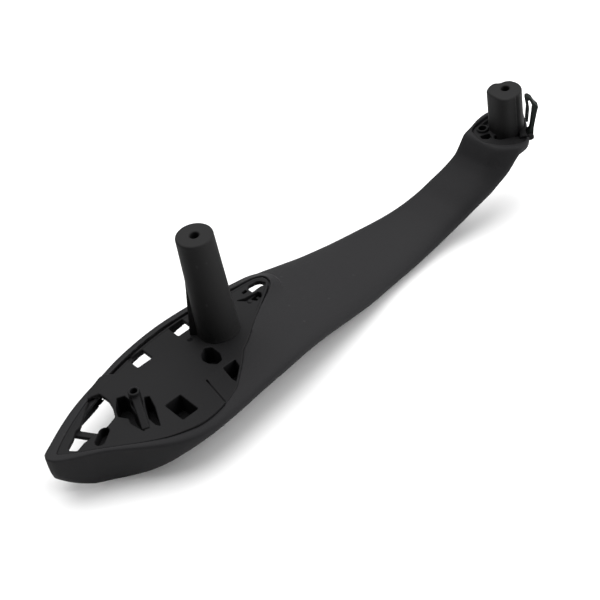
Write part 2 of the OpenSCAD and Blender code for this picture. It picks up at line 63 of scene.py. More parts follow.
left_fall = [[-117, 15], [-110, 14.4], [-104, 8.6], [-98, 4.2], [-90, 5.2], [-80, 5.6], [-70, 3.8],
    [-60, 1.8], [-45, 1], [-10, 1], [10, 1.8], [30, 5], [60, 6.5], [150, 6.5], [180, 7], [195, 7], [224, 6]]
right_fall = [[-117, 15], [-110, 19.2], [-100, 22], [-92, 22], [-85, 20.8], [-75, 17.6], [-60, 10.2],
    [-45, 6.4], [-20, 6], [150, 6], [180, 6], [195, 6], [224, 6]]
left_inset = [[-117, 0.3], [-100, 2.4], [-60, 5], [-20, 8], [30, 9], [150, 8], [190, 7], [224, 6]]
right_inset = [[-117, 0.3], [-104, 2.2], [-90, 3.4], [-70, 6], [-50, 9], [30, 10], [150, 9], [190, 7], [224, 6]]
RAKE = 4.0
opening_pts = [[-111, -7.6], [-108, -4.4], [-100, 0.8], [-90, 6.2], [-80, 10.6], [-65, 15.4],
    [-50, 19.4], [-35, 22], [-20, 23], [-5, 22.6], [10, 20.8], [24, 18], [34, 16.8], [40, 15.4],
    [43.4, 12.4], [42.4, 7], [38, 2.6], [30.5, -2.5], [16, -12], [4.8, -20], [-1, -23.4],
    [-8, -30.4], [-19.5, -40.2], [-25, -43], [-31, -45], [-38, -46.6], [-46, -47.2], [-54, -46],
    [-64, -42], [-75, -35.4], [-86, -27], [-96, -19.2], [-105, -13]]
foot_pts = [[192.6, -9], [194.4, -5.4], [198.7, -3.2], [204.4, -2.3], [209.6, -2.2], [213.6, -3.4], [217.4, -6.8],
    [219.8, -11], [220.7, -16], [219.8, -20.4], [217, -24.6], [213, -29], [210, -32.6], [207.4, -35.2],
    [204.4, -35.9], [199.6, -33.8], [195.4, -29.8], [192.3, -24.6], [190.4, -18.6], [190.9, -13]]
window_pts = [[-71.6, 10.4], [-76.8, 11.8], [-82.5, 7.4], [-92.2, -0.8], [-95.7, -1.6], [-99.8, -5], [-104.6, -7.8],
    [-105.6, -9.8], [-102.9, -13.2], [-97.4, -11.4], [-90.4, -11.3], [-82.2, -11.4], [-76, -9.2], [-72.8, -3], [-71.2, 3]]
tri_pts = [[-17, -25.2], [-8.8, -25.4], [-10.4, -31], [-18.6, -38], [-18.8, -35]]
slot_r_pts = [[-57.6, -9.8], [-55.2, -11.4], [-58, -19.8], [-64.2, -32.4], [-65.4, -29.6], [-65.2, -23.9], [-61.3, -15.8]]
slot_l_pts = [[-67.6, 0.8], [-63.8, -1], [-63.6, -5.4], [-66.2, -10.1], [-67.8, -17.2], [-71.9, -29.3],
    [-73.4, -19.3], [-72, -15.7], [-74.8, -10.6], [-73.2, -6.4]]
lobe_pts = [[-7.1, 6.3], [-5, 7.4], [-2.9, 8], [-0.8, 8], [0.8, 7.4], [2.2, 5.8], [3.8, 5], [5.4, 4.4], [7.3, 2.6],
    [8.3, 0.6], [8.5, -1.6], [8.2, -3.6], [7.3, -5.8], [5.5, -8], [2.9, -9.7], [0, -10.6], [-2.6, -10.2],
    [-6.6, -9], [-8.6, -7], [-9.3, -4.6], [-9.4, -2], [-9.1, 1], [-8.6, 3.6], [-8, 5.2]]
BOSS = (-62.4, -10.4)
RING = (199.7, -8.4)
CLIP = (213.4, -32.4, RISE - 1.2)
CLIP_A = math.radians(-40.6)


# ------------------------------------------------------------------ field tools
def at(t, x):
    t = np.asarray(t, float)
    xs, ys = t[:, 0], t[:, 1]
    m = np.empty(len(t))
    m[0] = (ys[1] - ys[0]) / (xs[1] - xs[0])
    m[-1] = (ys[-1] - ys[-2]) / (xs[-1] - xs[-2])
    m[1:-1] = (ys[2:] - ys[:-2]) / (xs[2:] - xs[:-2])
    i = np.clip(np.searchsorted(xs, x, "right") - 1, 0, len(t) - 2)
    h = xs[i + 1] - xs[i]
    u = np.clip((x - xs[i]) / h, 0, 1)
    u2, u3 = u * u, u * u * u
    return (2*u3 - 3*u2 + 1) * ys[i] + (u3 - 2*u2 + u) * h * m[i] + (3*u2 - 2*u3) * ys[i + 1] + (u3 - u2) * h * m[i + 1]


class Line:
    """a station table sampled finely, so that it can be read quickly"""
    def __init__(s, t, lo=-130.0, hi=240.0, step=0.1):
        s.x = np.arange(lo, hi, step)
        s.y = at(t, s.x)
        k = np.ones(15) / 15
        pad = np.pad(s.y, 7, mode="edge")
        s.y = np.convolve(pad, k, "valid")

    def __call__(s, x):
        return np.interp(x, s.x, s.y)


E_L, E_R = Line(left_edge), Line(right_edge)
DIPL, RISEL = Line(dip_line), Line(rise_line)
CH, LN, RN = Line(corner_h), Line(left_n), Line(right_n)
LF, RF, LI, RI = Line(left_fall), Line(right_fall), Line(left_inset), Line(right_inset)


def smax(a, b, k):
    h = np.maximum(k - np.abs(a - b), 0) / k
    return np.maximum(a, b) + h * h * k * 0.25


def smin(a, b, k):
    return -smax(-a, -b, k)


def box2(x, y, cx, cy, hx, hy, r=0.0):
    qx, qy = np.abs(x - cx) - hx + r, np.abs(y - cy) - hy + r
    return np.hypot(np.maximum(qx, 0), np.maximum(qy, 0)) + np.minimum(np.maximum(qx, qy), 0) - r


def seg2(x, y, x1, y1, x2, y2):
    dx, dy = x2 - x1, y2 - y1
    t = np.clip(((x - x1) * dx + (y - y1) * dy) / (dx * dx + dy * dy), 0, 1)
    return np.hypot(x - x1 - t * dx, y - y1 - t * dy)


def slab(z, lo, hi):
    return np.maximum(z - hi, lo - z)


def spline(pts, n=8):
    p = np.asarray(pts, float)
    out = []
    for i in range(len(p)):
        a, b, c, d = p[i - 1], p[i], p[(i + 1) % len(p)], p[(i + 2) % len(p)]
        for k in range(n):
            t = k / n
            out.append(0.5 * (2*b + (c - a)*t + (2*a - 5*b + 4*c - d)*t*t + (3*b - a - 3*c + d)*t**3))
    return np.array(out)


class Plan:
    """signed distance to a closed outline in the plan, read from a fine table"""
    def __init__(s, pts, step=0.2, margin=6.0, smooth=0, round_=0.0):
        p = spline(pts, smooth) if smooth else np.asarray(pts, float)
        s.lo = p.min(0) - margin
        s.hi = p.max(0) + margin
        s.step = step
        nx, ny = (np.ceil((s.hi - s.lo) / step).astype(int) + 1)
        gx, gy = s.lo[0] + np.arange(nx) * step, s.lo[1] + np.arange(ny) * step
        X, Y = np.meshgrid(gx, gy, indexing="ij")
        d = np.full(X.shape, 1e9)
        ins = np.zeros(X.shape, bool)
        q = np.roll(p, -1, 0)
        for (x1, y1), (x2, y2) in zip(p, q):
            d = np.minimum(d, seg2(X, Y, x1, y1, x2, y2))
            if y1 != y2:
                c = ((y1 > Y) != (y2 > Y)) & (X < (x2 - x1) * (Y - y1) / (y2 - y1) + x1)
                ins ^= c
        s.g = np.where(ins, -d, d)
        if round_ > 0:      # soften the outline's corners
            n = int(round(round_ / step))
            k = np.hanning(2 * n + 3)[1:-1]; k /= k.sum()
            s.g = np.apply_along_axis(lambda v: np.convolve(np.pad(v, n, mode="edge"), k, "valid"), 0, s.g)
            s.g = np.apply_along_axis(lambda v: np.convolve(np.pad(v, n, mode="edge"), k, "valid"), 1, s.g)
        s.n = s.g.shape

    def __call__(s, x, y):
        cx, cy = np.clip(x, s.lo[0], s.hi[0]), np.clip(y, s.lo[1], s.hi[1])
        far = np.hypot(x - cx, y - cy)
        u, v = (cx - s.lo[0]) / s.step, (cy - s.lo[1]) / s.step
        i, j = np.minimum(u.astype(int), s.n[0] - 2), np.minimum(v.astype(int), s.n[1] - 2)
        u, v = u - i, v - j
        g = s.g
        return (g[i, j] * (1-u) * (1-v) + g[i+1, j] * u * (1-v) + g[i, j+1] * (1-u) * v + g[i+1, j+1] * u * v) + far


def nets(f, lo, hi, h, steps=3):
    """smooth mesh of the surface f = 0 on a grid, pulled onto the surface"""
    lo, hi = np.array(lo, float), np.array(hi, float)
    n = np.ceil((hi - lo) / h).astype(int) + 1
    ax = [lo[k] + np.arange(n[k]) * h for k in range(3)]
    F = np.empty(n, np.float32)
    for i in range(0, n[0], 24):
        X, Y, Z = np.meshgrid(ax[0][i:i+24], ax[1], ax[2], indexing="ij")
        F[i:i+24] = f(X, Y, Z)
    F[0], F[-1], F[:, 0], F[:, -1], F[:, :, 0], F[:, :, -1] = [1e-3 + np.abs(a) for a in (F[0], F[-1], F[:, 0], F[:, -1], F[:, :, 0], F[:, :, -1])]
    S = F < 0
    c = S[:-1, :-1, :-1].astype(np.int8)
    tot = np.zeros_like(c)
    for a in (0, 1):
        for b in (0, 1):
            for d in (0, 1):
                tot += S[a:n[0]-1+a, b:n[1]-1+b, d:n[2]-1+d]
    act = (tot > 0) & (tot < 8)
    I = np.argwhere(act)
    idx = np.full(act.shape, -1, np.int64)
    idx[tuple(I.T)] = np.arange(len(I))
    P = np.zeros((len(I), 3)); C = np.zeros(len(I))
    corner = [(a, b, d) for a in (0, 1) for b in (0, 1) for d in (0, 1)]
    val = {k: F[I[:, 0] + k[0], I[:, 1] + k[1], I[:, 2] + k[2]] for k in corner}
    for k in corner:
        for axis in range(3):
            if k[axis] == 0:
                m = list(k); m[axis] = 1; m = tuple(m)
                f0, f1 = val[k], val[m]
                on = (f0 < 0) != (f1 < 0)
                t = np.where(on, f0 / np.where(on, f0 - f1, 1), 0)
                p = np.tile(np.array(k, float), (len(I), 1)); p[:, axis] = t
                P[on] += p[on]; C[on] += 1
    V = lo + (I + P / C[:, None]) * h
    quads = []
    for axis in range(3):
        a, b = (axis + 1) % 3, (axis + 2) % 3
        s0 = [slice(None)] * 3; s1 = [slice(None)] * 3
        s0[axis] = slice(0, -1); s1[axis] = slice(1, None)
        A, B = S[tuple(s0)], S[tuple(s1)]
        for flip, mask in ((0, A & ~B), (1, ~A & B)):
            E = np.argwhere(mask)
            E = E[(E[:, a] > 0) & (E[:, b] > 0) & (E[:, a] < n[a] - 1) & (E[:, b] < n[b] - 1)]
            def cell(da, db):
                q = E.copy(); q[:, a] += da; q[:, b] += db
                return idx[tuple(q.T)]
            q = np.stack([cell(-1, -1), cell(0, -1), cell(0, 0), cell(-1, 0)], 1)
            if flip:
                q = q[:, ::-1]
            quads.append(q)
    Q = np.concatenate(quads)
    Q = Q[(Q >= 0).all(1)]
    e = 0.05 * h
    home = V.copy()
    for _ in range(steps):
        f0 = f(V[:, 0], V[:, 1], V[:, 2])
        g = np.stack([f(V[:, 0] + e, V[:, 1], V[:, 2]) - f(V[:, 0] - e, V[:, 1], V[:, 2]),
                      f(V[:, 0], V[:, 1] + e, V[:, 2]) - f(V[:, 0], V[:, 1] - e, V[:, 2]),
                      f(V[:, 0], V[:, 1], V[:, 2] + e) - f(V[:, 0], V[:, 1], V[:, 2] - e)], 1) / (2 * e)
        gn = np.maximum((g * g).sum(1), 0.05)
        V = V - (np.clip(f0 / gn, -0.3 * h, 0.3 * h))[:, None] * g
        V = home + np.clip(V - home, -0.75 * h, 0.75 * h)
    return V, Q


def mesh_object(name, V, Q, mat, body):
    V = V.copy(); V[:, 2] -= H
    V = V / 1000.0
    me = bpy.data.meshes.new(name)
    me.vertices.add(len(V)); me.vertices.foreach_set("co", V.astype(np.float32).ravel())
    me.loops.add(Q.size); me.loops.foreach_set("vertex_index", Q.astype(np.int32).ravel())
    me.polygons.add(len(Q))
    me.polygons.foreach_set("loop_start", np.arange(0, Q.size, 4, dtype=np.int32))
    me.update(calc_edges=True); me.validate()
    me.polygons.foreach_set("use_smooth", np.ones(len(me.polygons), bool))
    me.materials.append(mat)
    ob = bpy.data.objects.new(name, me)
    bpy.context.collection.objects.link(ob)
    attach(ob, body)
    return ob


# ------------------------------------------------------------------ the shapes
def design_x(x):
    return np.where(x < 20, x, 20 + (x - 20) / KX)


def top_z(xd, y):
    lag = 0.045 * np.maximum(0, -y - 24) ** 2
    return DIP * DIPL(xd) + RISE * RISEL(xd - lag)


S82, C82 = math.sin(math.radians(82)), math.cos(math.radians(82))


def body(xw, y, z, closed=True):
    x = design_x(xw)
    near, far = np.clip(1 - (x + 117) / 30, 0, 1), np.clip(1 - (223.6 - x) / 20, 0, 1)
    u = np.clip((top_z(x, y) - 3 - z) / 20.0, 0, 1) * S82
    x = x - RAKE * (0.08 * near - 0.5 * far) * (1 - np.sqrt(1 - u * u)) / (1 - C82)
    yl, yr = E_L(x), E_R(x)
    yc, a = (yl + yr) / 2, np.maximum((yl - yr) / 2, 0.05)
    b = np.minimum(CH(x), a)
    left = y > yc
    n = np.where(left, LN(x), RN(x))
    fall = np.where(left, LF(x), RF(x))
    inset = np.minimum(np.where(left, LI(x), RI(x)), 0.45 * a)
    zt = top_z(x, y)
    t = z - zt + b
    w = np.maximum(np.abs(y - yc) / a, 1e-4)
    v = np.maximum(t / b, 1e-4)
    s = w ** n + v ** n
    g = s ** (1 / n) - 1
    k = s ** (1 / n - 1)
    gu, gv = w ** (n - 1) * k / a, v ** (n - 1) * k / b
    d_top = g / np.maximum(np.hypot(gu, gv), 1e-3)
    q = np.clip(-t / fall, 0, 1) * S82
    ins = inset * (1 - np.sqrt(1 - q * q)) / (1 - C82)
    d_side = np.abs(y - yc) - (a - ins)
    d = np.where(t > 0, d_top, d_side)
    if not closed:
        return np.maximum(d, np.maximum(-116.9 - x, x - 223.4))
    wl, wr = np.minimum(LI(x), 0.45 * a), np.minimum(RI(x), 0.45 * a)
    zl, zr = top_z(x, yl) - b - LF(x), top_z(x, yr) - b - RF(x)
    yl2, yr2 = yl - wl, yr + wr
    f = np.clip((y - yr2) / np.maximum(yl2 - yr2, 0.1), 0, 1)
    zb = zr + (zl - zr) * f
    d = smax(d, zb - z, 0.8 + 9.0 * np.clip(1 - (x + 117) / 16, 0, 1))
    return np.maximum(d, np.maximum(-116.9 - x, x - 223.4))


OPEN = Plan(opening_pts, smooth=6)
FOOT = Plan([[20 + (p[0] - 20) * KX, p[1]] for p in foot_pts], smooth=6)
WIN = Plan(window_pts, round_=0.8)
TRI = Plan(tri_pts, round_=0.5)
SR, SL = Plan(slot_r_pts, round_=0.4), Plan(slot_l_pts, round_=0.5)
LOBE = Plan(lobe_pts, smooth=6)
LENS = Plan([[31.3, 7.2], [36.7, 7.4], [40.2, 6.4], [41, 7.4], [40.3, 10.4], [38.4, 12.2], [33.2, 12.8], [31.3, 11.2]], round_=0.5)
UNDER = Plan([[31.5, 6.6], [41.5, 6], [50, 19.6], [50, 26], [41, 26], [34, 16]])
HEX = Plan([[-18.6, -8.9], [-14.2, -6], [-10.9, -8.8], [-11.1, -15.9], [-13.5, -20.4], [-17.2, -20.8], [-19.9, -16.9], [-20.4, -12.5]], round_=1.0)
SEAT = Plan([[20.5, 9.2], [25, 6.8], [28.6, 6.2], [33.4, 5.2], [34.1, 2.9], [32.2, 0.5], [28.2, -0.1], [27, 2.6], [24.4, 4]], round_=0.4)
BLOCK = Plan([[199.2, -3.0], [204.6, -8.6], [208, -14.0], [204, -21], [206, -28], [209.9, -31], [206.7, -40], [194, -30], [188, -18], [190, -6]], round_=0.6)
PK1 = Plan([[194.2, -11.4], [197, -12.4], [199.4, -13.8], [197.6, -17.2], [195, -16.8], [193.0, -13.8]], round_=0.4)
PK2 = Plan([[199.2, -17.6], [202.2, -19.4], [203.4, -22.4], [201.4, -24.8], [198.8, -22.8], [197.4, -19.6]], round_=0.4)


def to_clip(x, y, z):
    """coordinates of the end clip: lean, across, up"""
    X0 = 20 + (CLIP[0] - 20) * KX
    c, s = math.cos(CLIP_A), math.sin(CLIP_A)
    dx, dy = x - X0, y - CLIP[1]
    return dx * c + dy * s, -dx * s + dy * c, z - CLIP[2]


def f_shell(x, y, z):
    o = body(x, y, z)
    op = OPEN(x, y)
    ft = FOOT(x, y)
    xd = design_x(x)
    # the skin rises a little to meet the plate's narrow end
    col = np.maximum(z + 0.05 + 0.56 * np.maximum(op, 0), np.maximum(op - 6.5, -z - 5.5))
    o = smin(o, np.maximum(col, 12 - x), 2.0)
    # hollow under the skin, open to the cabin side
    inner = body(x, y, z, False) + SHELL_T
    deep = np.maximum(inner, np.maximum(-112.5 - x, x - 187.5))
    d = smax(o, -deep, 0.5)
    # ledge that carries the plate
    ledge = np.maximum(np.maximum(op - 1.2, -(op + 1.8)), slab(z, -PLATE_T - 2.05, -PLATE_T - 0.05))
    d = np.minimum(d, np.maximum(ledge, o))
    soft = 0.06 + 0.3 * np.clip((x + 66) / 14, 0, 1) * np.clip((-8 - x) / 20, 0, 1) + 0.2 * np.clip((y + 5) / 20, 0, 1)
    under = 1.4 * np.clip((y + 5) / 12, 0, 1) * np.clip((x + 84) / 14, 0, 1) * np.clip(-z / 0.8, 0, 1)
    d = smax(d, -np.maximum(op - under, -(z + PLATE_T + 0.05)), soft)
    d = smax(d, -(op + 1.8), 0.4)
    # slot in the hull's wall below the plate's end window
    d = smax(d, -np.maximum(UNDER(x, y), np.maximum(z + PLATE_T + 2.4, y - 19 + 3 * np.minimum(z + 8.5, 0))), 0.4)
    # foot recess, open right through
    d = smax(d, -ft, 0.9)
    # notch for the clip's lug
    u, w, v = to_clip(x, y, z)
    d = smax(d, -np.maximum(box2(u, w, -1.5, 0, 4.5, 4.3), -2.3 - v), 0.5)
    # ribs that stiffen the hull's walls
    rib = np.full(x.shape, 1e3)
    for xr in (-66, -53, -30, -2):
        rib = np.minimum(rib, np.abs(x - xr) - 0.6)
    rib = np.maximum(np.maximum(rib, o + 1.2), -(o + 5.4))
    rib = np.maximum(rib, z + PLATE_T + 2.1)
    return np.minimum(d, np.maximum(rib, -(op - 1.2)))


def f_plate(x, y, z):
    op = OPEN(x, y)
    side = np.clip((y + 5) / 20, 0, 1)
    gw = 0.5 + 0.8 * np.clip((x + 78) / 16, 0, 1)
    join = np.clip((-58 - x) / 8, 0, 1) * np.clip((-6 - y) / 4, 0, 1)
    out = np.maximum(op + 0.02 + 0.1 * side - 0.35 * join, OPEN(x + 0.3 * gw, y + gw))
    soft = 0.06 + 0.3 * np.clip((x + 66) / 14, 0, 1) * np.clip((-8 - x) / 20, 0, 1) + 0.2 * side
    # the raised panel steps down towards the plate's inner corner
    lower = np.maximum(-(x + 29.6) + (y + 34) * 0.21, y + 25.2)
    fade = np.clip((-13 - x) / 15.0, 0, 1)
    ztop = -0.06 * join - 1.1 * fade * np.clip((-24.4 - y) / 5.0, 0, 1) * np.clip(0.5 - lower / 0.5, 0, 1)
    # lip along the groove
    lip = 0.3 * np.clip((out + 1.5) / 0.4, 0, 1) * np.clip((y + 8) / 3, 0, 1) * np.clip((44 - x) / 4, 0, 1)
    d = smax(smax(out, z - ztop - lip, soft), -PLATE_T - z, 0.4)
    # under the plate: walls of the pockets, collar, ribs
    wall = np.minimum(box2(x, y, -49, -30.5, 6.6, 9.1, 1.0), HEX(x, y) - 1.4)
    wall = np.minimum(np.minimum(wall, TRI(x, y) - 1.4), np.minimum(SR(x, y) - 1.2, SL(x, y) - 1.2))
    wall = np.maximum(wall, slab(z, -PDEPTH - 4, -1))
    pill = seg2(x, y, -85.7, -13, -91.4, -17)
    wall = np.minimum(wall, np.maximum(pill - 3.8, slab(z, -7.6, -1)))
    ribs = np.minimum(box2(x, y, -39, 4.8, 23, 0.8), np.minimum(box2(x, y, -53.2, -4.5, 0.8, 9.5), box2(x, y, -29.2, -4.5, 0.8, 9.5)))
    wall = np.minimum(wall, np.maximum(ribs, slab(z, -6, -1)))
    wall = np.minimum(wall, np.maximum(np.hypot(x, y) - 11, slab(z, -12, -1)))
    wall = np.minimum(wall, np.maximum(box2(x, y, 28.5, 10.7, 2.4, 2.0, 0.4), slab(z, -4.6, -1)))
    d = smin(d, np.maximum(wall, op + 0.4), 0.5)
    # ramp that laps onto the rim beside the long window
    rx = np.clip((x + 79) / 4, 0, 1) * np.clip((-54.5 - x) / 5, 0, 1)
    ramp = np.maximum(RAMP(x, y), slab(z, -1.4, -0.25 + 0.8 * np.clip((op + 5) / 5, 0, 1)))
    d = smin(d, ramp, 0.25)
    # windows
    d = smax(d, -WIN(x, y), 0.6)
    for x0, x1, y0, y1 in ((-46.4, -36.6, 10, 19), (-17.2, -7.8, 12, 20.6), (36, 36.1, 9, 9.1)):
        d = smax(d, -box2(x, y, (x0+x1)/2, (y0+y1)/2, (x1-x0)/2, (y1-y0)/2, 0.7), 0.6)
    d = smax(d, -LENS(x, y), 0.5)
    # bar across the long window
    bar = seg2(x, y, -96.4, 1.6, -88.6, -12) - 1.9
    d = np.minimum(d, smax(bar, slab(z, -5, -2.5), 0.6))
    d = np.minimum(d, smax(pill - 3.3, slab(z, -7.6, -0.7), 0.4))
    # pockets and slots
    fl = -PDEPTH - 2.6
    d = smax(d, -np.maximum(box2(x, y, -49, -30.5, 5, 7.5, 0.8), fl - z), 0.6)
    d = smax(d, -np.maximum(HEX(x, y), fl - z), 0.5)
    d = smax(d, -np.maximum(TRI(x, y), fl - z), 0.5)
    d = smax(d, -np.maximum(SR(x, y), fl - z), 0.5)
    d = smax(d, -np.maximum(SL(x, y), fl - z), 0.5)
    d = smax(d, -np.maximum(pill - 2.7, -6.4 - z), 0.5)
    d = smax(d, -SEAT(x, y), 0.4)
    d = smax(d, -np.maximum(box2(x, y, 28.5, 10.7, 1.4, 1.0, 0.4), -3.6 - z), 0.4)
    d = smin(d, np.maximum(np.hypot(x - 25.4, y - 2.2) - 1.3, slab(z, -2, 0.6)), 0.5)
    d = smax(d, -np.maximum(seg2(x, y, -28.3, -25.7, -31.6, -44) - 0.5, -1.7 - z), 0.3)
    d = smax(d, -(np.hypot(x, y) - 8.1), 0.2)
    d = smax(d, -(np.hypot(x - BOSS[0], y - BOSS[1]) - 2.5), 0.2)
    # small nub beside the tower
    nub = np.sqrt((x + 15.1) ** 2 + (y - 5) ** 2 + (z + 0.2) ** 2) - 1.3
    return smin(d, nub, 0.5)


RAMP = Plan([[-78.4, 11.8], [-74, 16.3], [-64.2, 20], [-61, 19.2], [-55, 12.4], [-62, 9.4], [-70, 9]], round_=0.8)


def fin(x, y, z, cx, cy, ang, t, r_foot, r_top, h, lo=0.0, draft=0.0):
    """thin upright fin that leans against a tower"""
    c, s = math.cos(math.radians(ang)), math.sin(math.radians(ang))
    u, w = (x - cx) * c + (y - cy) * s, -(x - cx) * s + (y - cy) * c
    face = (u - r_foot - (r_top - r_foot) * (z - 3) / (h - 3)) * 0.97
    return np.maximum(np.maximum(np.abs(w) - t / 2 - draft * (h - z), np.maximum(face, u - r_foot)), np.maximum(-u + 4, slab(z, lo, h)))


def f_tower(x, y, z):
    lean = np.clip(1 - z / H, 0, 1)
    r = np.hypot(x - 0.6 * lean, y + 0.55 * lean)
    rad = 11.5 - 1.5 * z / H + 0.4 * np.exp(-np.maximum(z, 0) / 0.9)
    d = smax(r - rad, z - H, 1.1)
    d = smin(d, fin(x, y, z, 0, 0, 34, 1.6, 14.4, 9.9, 50), 0.5)
    d = smin(d, fin(x, y, z, 0, 0, 137, 1.4, 14.2, 9.7, 42, draft=0.07), 0.5)
    r = np.hypot(x, y)
    d = smax(d, -z, 0.3)
    d = np.minimum(d, np.maximum(r - 8, slab(z, -6.6, 1)))
    hole = np.maximum(r - 2.5 - 0.5 * np.clip((z - H + 0.5) / 0.5, 0, 1), H - 30 - z)
    d = smax(d, -hole, 0.4)
    return smax(d, -np.maximum(r - 5.6, z - H + 34), 0.4)


def f_boss(x, y, z):
    dx, dy = x - BOSS[0], y - BOSS[1]
    r = np.hypot(dx, dy)
    d = smax(r - 3.2, z - 9, 0.7)
    c, s = math.cos(math.radians(246)), math.sin(math.radians(246))
    u, w = dx * c + dy * s, -dx * s + dy * c
    but = smax(np.maximum(np.abs(w) - 2.1, np.maximum(-u, u - 20)), np.maximum((z - 7 + (u - 2.2) * 0.37) * 0.94, z - 7), 0.8)
    d = smin(d, but, 0.8)
    d = smax(d, -z, 0.3)
    d = np.minimum(d, np.maximum(r - 2.45, slab(z, -4.1, 0.5)))
    return smax(d, -np.maximum(r - 1.9, -1 - z), 0.5)


def f_latch(x, y, z):
    d = np.maximum(box2(x, y, 22.4, 7.6, 0.9, 0.9, 0.3), slab(z, -4.6, -1.4))
    d = np.minimum(d, np.maximum(box2(x, y, 31.4, 2.6, 0.9, 1.4, 0.3), slab(z, -4.6, -2)))
    d = smin(d, np.maximum(seg2(x, y, 25.5, 5.4, 31, 5.6) - 0.5, slab(z, -4.6, -1.6)), 0.4)
    tray = np.maximum(SEAT(x, y) - 0.9, slab(z, -5.2, -2.62))
    return np.minimum(d, smax(tray, -np.maximum(SEAT(x, y) - 0.05, -4.3 - z), 0.3))


def f_upper(x, y, z):
    dx, dy, h = x - PITCH, y - T2Y, z - RISE
    k = 1 - 0.05 * np.exp(-np.maximum(h + 4.8, 0) / 5.0)
    lobe = LOBE((dx + 0.33) * k * 0.945, (dy - 0.3) * k * 0.945) / 0.945
    # stays back where the clip swings towards it
    near = dx * math.cos(CLIP_A) + dy * math.sin(CLIP_A)
    lobe = np.maximum(lobe, LOBE(dx * k, dy * k) + 0.15 - 3 * np.clip((5 - near) / 4, 0, 1))
    d = smax(lobe, h - 24.9, 1.2)
    d = smin(d, fin(dx, dy, h + 4.8, 0, 0, -38, 2.4, 11.2, 8.2, 15), 1.2)
    d = smax(d, -(h + 4.8), 0.3)
    d = np.minimum(d, np.maximum(np.hypot(dx, dy) - 7, slab(h, -8, -4.6)))
    r = np.hypot(dx, dy)
    return smax(d, -np.maximum(r - 2.5 - 0.5 * np.clip((h - 24.4) / 0.5, 0, 1), 4.2 - h), 0.4)


def f_frame(x, y, z):
    h = z - RISE
    ft = FOOT(x, y)
    rx = 20 + (RING[0] - 20) * KX
    X = lambda v: 20 + (v - 20) * KX
    d = np.maximum(ft + 0.2, slab(h, -6.6, -4.8))
    d = smin(d, np.maximum(np.maximum(ft + 0.2, -(ft + 1.5)), slab(h, -6.6, -2)), 0.5)
    ring = smax(np.hypot(x - rx, y - RING[1]) - 3.4, slab(h, -6.6, 0), 0.6)
    d = smin(d, ring, 0.6)
    rib = seg2(x, y, PITCH, T2Y, rx, RING[1])
    for p in ((X(190), -18), (X(199), -36)):
        rib = np.minimum(rib, seg2(x, y, PITCH, T2Y, *p))
    rib = np.minimum(rib, seg2(x, y, rx, RING[1], X(190), -4)) - 0.75
    rib = smax(np.maximum(rib, ft + 0.5), slab(h, -6.6, -1.6), 0.6)
    d = smin(d, rib, 0.6)
    d = smin(d, np.maximum(np.maximum(BLOCK(x, y), ft + 0.2), slab(h, -6.6, -1.5)), 0.5)
    d = smax(d, -np.maximum(np.minimum(PK1(x, y), PK2(x, y)), -6.0 - h), 0.4)
    u, w, v = to_clip(x, y, z)
    lug = np.maximum(box2(u, v, -3.6, -1.9, 2.4, 3.4, 0.6), np.abs(w) - 4.1)
    lug = np.maximum(lug, ft + 0.2)
    root = smax(box2(u, v, -3.5, -0.15, 1.5, 1.95, 0.4), np.abs(w) - 4.1, 0.4)
    ear = np.maximum(np.minimum(np.hypot(u, v) - 2.0, box2(u, v, -2.2, -0.4, 2.2, 1.6)), np.abs(np.abs(w) - 3.3) - 0.8)
    d = smin(d, np.minimum(np.minimum(lug, root), ear), 0.3)
    dx, dy = x - PITCH, y - T2Y
    d = smax(d, -np.maximum(LOBE(dx, dy) - 0.25, -4.9 - h), 0.3)
    d = smax(d, -(np.hypot(dx, dy) - 7.1), 0.2)
    c, s = math.cos(math.radians(-38)), math.sin(math.radians(-38))
    fu, fw = dx * c + dy * s, -dx * s + dy * c
    d = smax(d, -np.maximum(box2(fu, fw, 7.8, 0, 3.8, 1.4), -4.9 - h), 0.3)
    d = smax(d, -np.maximum(np.hypot(x - rx, y - RING[1]) - 2.25, -5 - h), 0.5)
    return smax(d, -(np.hypot(u, v) - 0.95), 0.2)


KC = 26.5 / 31
clip_pts = [[1.5, -0.9], [2.0, 6 * KC], [3.9, 17 * KC], [5.0, 22.2 * KC], [2.9, 25.4 * KC],
    [1.6, 28.6 * KC], [0.5, 30.6 * KC], [-0.9, 31.2 * KC], [-1.9, 30.2 * KC], [-1.9, 28.5 * KC],
    [-1.3, 22 * KC], [-2.2, 12 * KC], [-1.6, 10.8 * KC], [-0.8, 11.6 * KC], [0.2, 22 * KC], [-0.2, 28 * KC],
    [0.6, 28.2 * KC], [1.8, 25 * KC], [2.4, 22.4 * KC], [1.8, 17 * KC], [0.2, 6 * KC], [-1.5, 0.4], [-1.2, -1.1],
    [0, -1.5], [1.1, -1.3]]
CLIPP = Plan(clip_pts, step=0.05, margin=3, round_=0.15)


def f_clip(x, y, z):
    u, w, v = to_clip(x, y, z)
    d = smax(CLIPP(u, v) - 0.25 * np.clip((u - 0.6) / 0.8, 0, 1), np.abs(w) - 2.25, 0.3)
    return np.minimum(d, smax(np.hypot(u, v) - 0.9, np.abs(w) - 4.0, 0.3))


